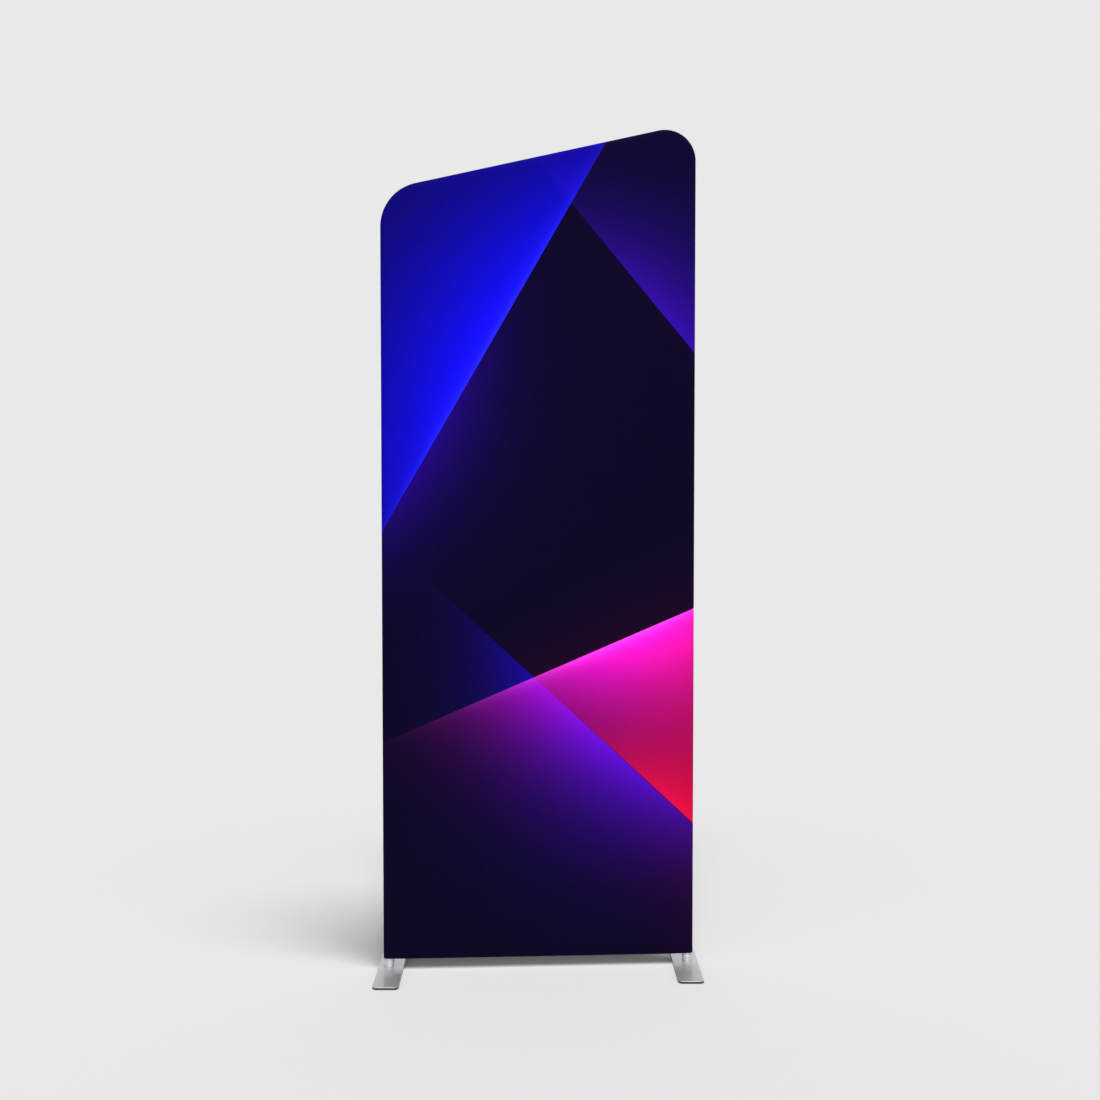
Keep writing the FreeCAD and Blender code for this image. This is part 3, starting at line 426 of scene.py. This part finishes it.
leftCentre = (-cover["halfWidth"] + cover["leftBend"],
              cover["leftCorner"] - cover["leftBend"] * math.tan(leftTurn / 2))
rightCentre = (cover["halfWidth"] - cover["rightBend"],
               cover["rightCorner"] - cover["rightBend"] * math.tan(rightTurn / 2))
topNormal = math.pi / 2 + slope


def topOf(x):
    # height of the tube loop above x, and the angle of its outward normal
    if x <= leftCentre[0] + cover["leftBend"] * math.cos(topNormal):
        turn = math.acos(max(-1, (x - leftCentre[0]) / cover["leftBend"]))
        return leftCentre[1] + cover["leftBend"] * math.sin(turn), turn
    if x >= rightCentre[0] + cover["rightBend"] * math.cos(topNormal):
        turn = math.acos(min(1, (x - rightCentre[0]) / cover["rightBend"]))
        return rightCentre[1] + cover["rightBend"] * math.sin(turn), turn
    return cover["leftCorner"] + (x + cover["halfWidth"]) * math.tan(slope), topNormal


def puckerAt(x, z):
    # cloth gathers a little where the seam goes round a bend
    lift = 0
    for centre, bend, first, last in ((leftCentre, cover["leftBend"], math.pi, topNormal),
                                      (rightCentre, cover["rightBend"], topNormal, 0)):
        dx, dz = x - centre[0], z - centre[1]
        away, turn = math.hypot(dx, dz), math.atan2(dz, dx)
        if last < turn < first and away > cover["puckerClear"] * bend:
            share = (turn - last) / (first - last)
            wave = 0.5 - 0.5 * math.cos(2 * math.pi * turn * bend / cover["puckerPitch"])
            fade = math.exp(-max(0, bend - away) / cover["puckerReach"])
            lift += wave * math.sqrt(math.sin(math.pi * share)) * fade
    return lift * cover["puckerDepth"]


def hemPoint(x, share, side):
    # share runs from the rail's height to the cloth's edge: rolled under the rail, straight beside a post;
    # gives the place, the way out and the height on the flat sheet
    wrap, rail = cover["wrap"], cover["railHeight"]
    part = min(1, max(0, (abs(x) - cover["hemEnd"]) / (cover["openEnd"] - cover["hemEnd"])))
    part = part * part * (3 - 2 * part)
    a = math.pi / 2 * share
    rolled = Vector((x, side * wrap * math.cos(a), rail - wrap * math.sin(a)))
    straight = Vector((x, side * wrap, rail + (cover["edgeHeight"] - rail) * share))
    out = Vector((0, side * math.cos(a), -math.sin(a))).lerp(Vector((0, side, 0)), part)
    flatHeight = (rail - wrap * a) * (1 - part) + straight.z * part
    return rolled.lerp(straight, part), out.normalized(), flatHeight


def coverColumns():
    half = cover["halfWidth"]
    columns = {-half, half}
    for mark in (cover["hemEnd"], cover["openEnd"], cover["zipHalf"]):
        columns |= {-mark, mark}
    count = cover["bendColumns"]
    for i in range(1, count + 1):
        columns.add(leftCentre[0] + cover["leftBend"] * math.cos(math.pi - leftTurn * i / count))
        columns.add(rightCentre[0] + cover["rightBend"] * math.cos(rightTurn * i / count))
    first = leftCentre[0] + cover["leftBend"] * math.cos(topNormal)
    last = rightCentre[0] + cover["rightBend"] * math.cos(topNormal)
    for i in range(1, cover["topColumns"]):
        columns.add(first + (last - first) * i / cover["topColumns"])
    ordered = sorted(columns)
    return [x for i, x in enumerate(ordered) if i == 0 or x - ordered[i - 1] > 1e-5]


def coverHalf(name, side):
    wrap, half, rail = cover["wrap"], cover["halfWidth"], cover["railHeight"]
    zipLow, zipHigh = cover["zipLow"], cover["zipHigh"]
    columns = coverColumns()
    levelRows = [rail, (rail + zipLow) / 2, zipLow, (zipLow + zipHigh) / 2, zipHigh]
    levelRows += [cover["rowStart"] + cover["rowPitch"] * i for i in range(cover["levelRows"])]
    topRows = [(i + 1) / cover["topRows"] for i in range(cover["topRows"])]
    mesh = bmesh.new()
    flatPlace = mesh.verts.layers.float_vector.new("flatPlace")
    found = {}

    def vertexAt(place, flatX, flatZ):
        key = tuple(round(c, 6) for c in place)
        if key not in found:
            found[key] = mesh.verts.new(place)
            found[key][flatPlace] = (flatX, 0, flatZ)
        return found[key]

    def gridOf(rows, skip=None):
        for i in range(len(rows) - 1):
            for j in range(len(rows[i]) - 1):
                corners = (rows[i][j], rows[i][j + 1], rows[i + 1][j + 1], rows[i + 1][j])
                if (skip and skip(corners)) or len(set(corners)) < 3:
                    continue
                mesh.faces.new([c for k, c in enumerate(corners) if c not in corners[:k]])

    def flatPoint(x, z):
        return vertexAt((x, side * (wrap + puckerAt(x, z)), z), x, z)

    def hemVertex(x, share):
        place, out, flatHeight = hemPoint(x, share, side)
        return vertexAt(place, x, flatHeight)

    def inZip(corners):
        near = 1e-4
        return side > 0 and all(abs(v.co.x) < cover["zipHalf"] + near and
                                zipLow - near < v.co.z < zipHigh + near for v in corners)

    # face of the panel, open for the zip
    rows = [[flatPoint(x, z) for x in columns] for z in levelRows]
    base = levelRows[-1]
    rows += [[flatPoint(x, base + (topOf(x)[0] - base) * t) for x in columns] for t in topRows]
    gridOf(rows, inZip)
    # hem: rolled under the bottom rail, open round the posts
    shares = [a / 90 for a in cover["rimSteps"]]
    gridOf([[hemVertex(x, share) for x in columns] for share in shares])
    # rim: round the tubes from the flat to the seam
    ends = [hemPoint(half, share, side)[0].z for share in reversed(shares[1:])] + levelRows
    edge = [(-half, z, math.pi) for z in ends]
    edge += [(-half, base + (topOf(-half)[0] - base) * t, math.pi) for t in topRows[:-1]]
    edge += [(x, *topOf(x)) for x in columns]
    edge += [(half, base + (topOf(half)[0] - base) * t, 0) for t in reversed(topRows[:-1])]
    edge += [(half, z, 0) for z in reversed(ends)]
    strips = []
    for degrees in cover["rimSteps"]:
        a = math.radians(degrees)
        dip = cover["seamDip"] * max(0, (degrees - cover["dipStart"]) / (90 - cover["dipStart"])) ** 2
        strip = []
        for x, z, normal in edge:
            reach = wrap + puckerAt(x, z) * math.cos(a) ** 2 - dip
            out, run = reach * math.sin(a), wrap * a
            place = (x + out * math.cos(normal), side * reach * math.cos(a), z + out * math.sin(normal))
            strip.append(vertexAt(place, x + run * math.cos(normal), z + run * math.sin(normal)))
        strips.append(strip)
    gridOf(strips)
    bmesh.ops.recalc_face_normals(mesh, faces=mesh.faces)
    piece = pieceFrom(mesh, name, knitCloth)
    thickenSheet(piece, cover["thick"], cover["creaseAngle"])
    return piece


coverFront = coverHalf("coverFront", -1)
coverBack = coverHalf("coverBack", 1)
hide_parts("cover_front")
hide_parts("cover_back")
print("cover made:", len(coverFront.data.vertices), "+", len(coverBack.data.vertices), "points")


def addTube(mesh, path, radius, sides):
    # closed round bar along a few points, drawn in at both ends
    askew = Vector((0.31, 0.52, 0.79))    # a direction that no path follows
    tipShare = 0.55
    rings = []
    for i, point in enumerate(path):
        run = (path[min(i + 1, len(path) - 1)] - path[max(i - 1, 0)]).normalized()
        first = run.cross(askew).normalized()
        second = run.cross(first)
        size = radius * (tipShare if i in (0, len(path) - 1) else 1)
        rings.append([mesh.verts.new(point + size * (first * math.cos(t) + second * math.sin(t)))
                      for t in [2 * math.pi * k / sides for k in range(sides)]])
    for low, high in zip(rings, rings[1:]):
        for k in range(sides):
            mesh.faces.new((low[k], low[(k + 1) % sides], high[(k + 1) % sides], high[k]))
    mesh.faces.new(list(reversed(rings[0])))
    mesh.faces.new(rings[-1])


# Sewing: lockstitch rows, each stitch dips into the cloth at both ends
sewing = {
    "length": 0.0030,
    "gap": 0.0007,
    "thread": 0.00022,
    "sides": 6,
    # one stitch: shares of half its length along the row, and of the thread out of the cloth
    "arch": ((-1, -0.6), (-0.7, 0.5), (0, 0.9), (0.7, 0.5), (1, -0.6)),
    "zipMargin": 0.003,
    "hemStart": 0.411,
    "hemShare": 0.72,          # from the rail's height to the edge
    "hemMarks": 16,
    "postSteps": 12,
}
outside = cover["wrap"] + cover["thick"] / 2
back = Vector((0, 1, 0))


def walkPath(points, step):
    # evenly spaced places along a run of (place, outward) pairs
    places, left = [], 0
    for (a, outA), (b, outB) in zip(points, points[1:]):
        length = (b - a).length
        along = left
        while along < length:
            t = along / length
            places.append((a.lerp(b, t), outA.lerp(outB, t).normalized(), (b - a).normalized()))
            along += step
        left = along - length
    return places


def sewRows(name, rows):
    mesh = bmesh.new()
    half = sewing["length"] / 2
    for row in rows:
        for place, out, run in walkPath(row, sewing["length"] + sewing["gap"]):
            path = [place + run * half * t + out * sewing["thread"] * lift for t, lift in sewing["arch"]]
            addTube(mesh, path, sewing["thread"], sewing["sides"])
    return pieceFrom(mesh, name, seamThread)


def zipRow():
    # once round the zip
    low, high = cover["zipLow"] - sewing["zipMargin"], cover["zipHigh"] + sewing["zipMargin"]
    end = cover["zipHalf"] + sewing["zipMargin"]
    corners = ((-end, low), (-end, high), (end, high), (end, low), (-end, low))
    return [(Vector((x, outside, z)), back) for x, z in corners]


def hemRow(end):
    # along the front hem, round the post and back along the rear hem
    half, first, count = cover["halfWidth"], sewing["hemStart"], sewing["hemMarks"]
    share, lift = sewing["hemShare"], cover["thick"] / 2
    marks = [end * (first + (half - first) * k / count) for k in range(count)]
    fronts = [hemPoint(x, share, -1) for x in marks]
    backs = [hemPoint(x, share, 1) for x in reversed(marks)]
    level = hemPoint(half, share, 1)[0].z
    row = [(place + out * lift, out) for place, out, flatHeight in fronts]
    for k in range(sewing["postSteps"] + 1):
        a = math.pi * k / sewing["postSteps"]
        out = Vector((end * math.sin(a), -math.cos(a), 0))
        row.append((Vector((end * half, 0, level)) + out * outside, out))
    return row + [(place + out * lift, out) for place, out, flatHeight in backs]


zipStitches = sewRows("zipStitches", [zipRow()])
hemStitches = sewRows("hemStitches", [hemRow(-1), hemRow(1)])

# Rim seam: fine thread bridges from sheet to sheet
rimSeam = {
    "lowEnd": 0.035,
    "pitch": 0.0034,
    "reach": 0.0011,           # to each side of the seam
    "sink": 0.0001,            # of the ends into the cloth
    "lift": 0.00022,           # of the middle over the cloth
    "slant": 0.0002,           # of the middle along the seam
    "thread": 0.00016,
    "sides": 5,
}


def rimPath():
    # up the left side, over the top and down the right side
    half, reach = cover["halfWidth"], outside - cover["seamDip"]
    edge = [(-half, rimSeam["lowEnd"], math.pi), (-half, topOf(-half)[0], math.pi)]
    edge += [(x, *topOf(x)) for x in coverColumns()]
    edge += [(half, topOf(half)[0], 0), (half, rimSeam["lowEnd"], 0)]
    path = []
    for x, z, normal in edge:
        out = Vector((math.cos(normal), 0, math.sin(normal)))
        path.append((Vector((x, 0, z)) + out * reach, out))
    return path


def sewRim():
    under = cover["railHeight"] - outside
    bottom = [(Vector((x, 0, under)), Vector((0, 0, -1))) for x in (-cover["hemEnd"], cover["hemEnd"])]
    side = back * rimSeam["reach"]
    mesh = bmesh.new()
    for run in (rimPath(), bottom):
        for place, out, step in walkPath(run, rimSeam["pitch"]):
            sunk = place - out * rimSeam["sink"]
            crown = place + out * rimSeam["lift"] + step * rimSeam["slant"]
            addTube(mesh, [sunk - side, crown, sunk + side], rimSeam["thread"], rimSeam["sides"])
    return pieceFrom(mesh, "rimStitches", seamThread)


rimStitches = sewRim()
print("seams sewn")

# Zip in the lower edge of the back sheet: two tapes, each with its row of wound teeth
zipSizes = {
    "tapeInner": 0.0003,       # tape's inner edge from the zip's middle
    "tapeFace": 0.01535,       # its outside from the frame's plane
    "tapeThick": 0.0004,
    "tapeRows": (0, 0.0005, 0.0025, 0.0045, 0.0060, 0.0085, 0.0150),   # across the tape from its inner edge
    "tapeColumns": 80,
    "tuckStart": 0.0060,       # further out the tape is tucked behind the sheet
    "tuckDepth": 0.0003,
    "tapeCrease": 40,
    "toothPitch": 0.00075,
    "toothWire": 0.00038,
    "toothSides": 6,
    # one tooth from its tape over the middle: distance from the frame's plane, height from the middle
    "tooth": ((0.0155, 0.0026), (0.0161, 0.0020), (0.0165, 0.0003), (0.01645, -0.0004)),
    "partedShare": 0.3,        # of a tooth's length that is left when the zip is open
}


def zipTape(name, side, replaced):
    middle = (cover["zipLow"] + cover["zipHigh"]) / 2
    face = zipSizes["tapeFace"] - zipSizes["tapeThick"] / 2
    tucked = face - zipSizes["tuckDepth"]
    spots = [(tucked if d > zipSizes["tuckStart"] else face, middle + side * (zipSizes["tapeInner"] + d))
             for d in zipSizes["tapeRows"]]
    half, count = cover["zipHalf"], zipSizes["tapeColumns"]
    mesh = bmesh.new()
    places = [-half + 2 * half * k / count for k in range(count + 1)]
    rows = [[mesh.verts.new((x, y, z)) for y, z in spots] for x in places]
    for low, high in zip(rows, rows[1:]):
        for j in range(len(spots) - 1):
            mesh.faces.new((low[j], low[j + 1], high[j + 1], high[j]))
    bmesh.ops.recalc_face_normals(mesh, faces=mesh.faces)
    piece = pieceFrom(mesh, name, zipCloth)
    thickenSheet(piece, zipSizes["tapeThick"], zipSizes["tapeCrease"])
    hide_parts(replaced)
    return piece


def zipTeeth(name, side):
    # one tape's teeth
    low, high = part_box("zip_chain")
    middle = (low.z + high.z) / 2
    tooth = [Vector((0, y, middle + side * z)) for y, z in zipSizes["tooth"]]
    pitch = zipSizes["toothPitch"]
    mesh = bmesh.new()
    for k in range(int((high.x - low.x) / pitch)):
        if k % 2 == (side > 0):
            along = Vector((low.x + (k + 0.5) * pitch, 0, 0))
            addTube(mesh, [along + point for point in tooth], zipSizes["toothWire"], zipSizes["toothSides"])
    piece = pieceFrom(mesh, name, zipNylon)
    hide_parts("zip_chain")
    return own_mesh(piece)


tapeUpper = zipTape("zipTapeUpper", 1, "zip_tape_upper")
tapeLower = zipTape("zipTapeLower", -1, "zip_tape_lower")
teethUpper = zipTeeth("zipTeethUpper", 1)
teethLower = zipTeeth("zipTeethLower", -1)
print("zip made:", len(teethUpper.data.vertices) + len(teethLower.data.vertices), "points")

# Studio: pale floor, lit walls in front and behind, a soft key from the upper right and a soft front light
studio = {
    "pale": "#e9e9e9",
    "floorHalf": 60,
    "shadowReach": (1.6, 3.2),    # the floor turns from matt board to plain pale between these distances
    "wallLow": 1.75,              # light from the walls, low down and high up
    "wallHigh": 0.17,
    "wallFade": (0.1, 0.7),       # sines of the heights between which it falls off
    "sideShare": 0.1,             # of that light from the sides, and from behind
    "backShare": 0.72,
    "backTurn": 0.2,
    # each lamp's strength, and in degrees its size, its height and its turn to the right
    "lamps": {"key": (1.63, 20, 73, 35), "front": (1.07, 14, 55, -3)},
}


def seenRays(tree):
    # the plain pale is what is seen, straight or in a reflection; the lit walls only give light
    rays = addNode(tree, "ShaderNodeLightPath").outputs
    seen = addNode(tree, "ShaderNodeMath", {0: rays["Is Camera Ray"], 1: rays["Is Glossy Ray"]},
                   operation="MAXIMUM").outputs[0]
    return addNode(tree, "ShaderNodeMath", {0: seen, 1: rays["Is Transmission Ray"]},
                   operation="MAXIMUM").outputs[0]


def paleFloor():
    # matt board near the object, where its shadow falls; further off the plain pale of the background
    material, tree, place = startMaterial("paleFloor")
    near, far = studio["shadowReach"]
    matt = addNode(tree, "ShaderNodeBsdfDiffuse", {"Color": colour(studio["pale"])}).outputs[0]
    plain = addNode(tree, "ShaderNodeEmission", {"Color": colour(studio["pale"]), "Strength": 1.0}).outputs[0]
    clear = addNode(tree, "ShaderNodeBsdfTransparent").outputs[0]
    away = addNode(tree, "ShaderNodeVectorMath", {0: place}, operation="LENGTH").outputs["Value"]
    away = addNode(tree, "ShaderNodeMapRange", {"Value": away, 1: near, 2: far},
                   interpolation_type="SMOOTHSTEP").outputs[0]
    away = addNode(tree, "ShaderNodeMath", {0: away, 1: seenRays(tree)}, operation="MULTIPLY").outputs[0]
    board = addNode(tree, "ShaderNodeMixShader", {0: away, 1: matt, 2: plain}).outputs[0]
    below = addNode(tree, "ShaderNodeNewGeometry").outputs["Backfacing"]   # open when seen from below
    board = addNode(tree, "ShaderNodeMixShader", {0: below, 1: board, 2: clear}).outputs[0]
    addNode(tree, "ShaderNodeOutputMaterial", {"Surface": board})
    return material


def studioWalls():
    world = bpy.data.worlds.new("studio")
    world.use_nodes = True
    tree = world.node_tree
    tree.nodes.clear()
    low, high = studio["wallFade"]
    heading = addNode(tree, "ShaderNodeTexCoord").outputs["Generated"]
    behind = addNode(tree, "ShaderNodeSeparateXYZ", {0: heading}).outputs["Y"]
    turn = studio["backTurn"]
    behind = addNode(tree, "ShaderNodeMapRange", {"Value": behind, 1: -turn, 2: turn, 3: 1.0,
                                                  4: studio["backShare"]}).outputs[0]
    heading = addNode(tree, "ShaderNodeVectorMath", {0: heading}, operation="ABSOLUTE").outputs["Vector"]
    heading = addNode(tree, "ShaderNodeSeparateXYZ", {0: heading}).outputs
    wall = addNode(tree, "ShaderNodeMapRange", {"Value": heading["Z"], 1: low, 2: high, 3: studio["wallLow"],
                   4: studio["wallHigh"]}, interpolation_type="SMOOTHSTEP").outputs[0]
    facing = addNode(tree, "ShaderNodeMapRange", {"Value": heading["Y"], 3: studio["sideShare"],
                                                  4: 1.0}).outputs[0]
    wall = addNode(tree, "ShaderNodeMath", {0: wall, 1: facing}, operation="MULTIPLY").outputs[0]
    wall = addNode(tree, "ShaderNodeMath", {0: wall, 1: behind}, operation="MULTIPLY").outputs[0]
    lit = addNode(tree, "ShaderNodeBackground", {"Color": (1, 1, 1, 1), "Strength": wall}).outputs[0]
    shown = addNode(tree, "ShaderNodeBackground", {"Color": colour(studio["pale"])}).outputs[0]
    mixed = addNode(tree, "ShaderNodeMixShader", {0: seenRays(tree), 1: lit, 2: shown}).outputs[0]
    addNode(tree, "ShaderNodeOutputWorld", {"Surface": mixed})
    return world


far = studio["floorHalf"]
floorMesh = bpy.data.meshes.new("floor")
floorMesh.from_pydata([(-far, -far, 0), (far, -far, 0), (far, far, 0), (-far, far, 0)], [], [(0, 1, 2, 3)])
floor = bpy.data.objects.new("floor", floorMesh)
scene.collection.objects.link(floor)
floorMesh.materials.append(paleFloor())
scene.world = studioWalls()

for name, (strength, size, height, turn) in studio["lamps"].items():
    lampData = bpy.data.lights.new(name, "SUN")
    lampData.energy = strength
    lampData.angle = math.radians(size)
    lamp = bpy.data.objects.new(name, lampData)
    scene.collection.objects.link(lamp)
    lamp.rotation_euler = (math.radians(90 - height), 0, math.radians(turn))
print("studio lit")

# Camera: place in metres, turn to the right and tilt down in degrees, lens and sensor in millimetres
photoView = {"place": (-0.267, -4.694, 1.451), "turn": 3.654, "down": 2.683, "lens": 52.72, "sensor": 36}
cameraData = bpy.data.cameras.new("camera")
cameraData.lens = photoView["lens"]
cameraData.sensor_width = photoView["sensor"]
camera = bpy.data.objects.new("camera", cameraData)
scene.collection.objects.link(camera)
camera.location = photoView["place"]
camera.rotation_euler = (math.radians(90 - photoView["down"]), 0, math.radians(-photoView["turn"]))
scene.camera = camera
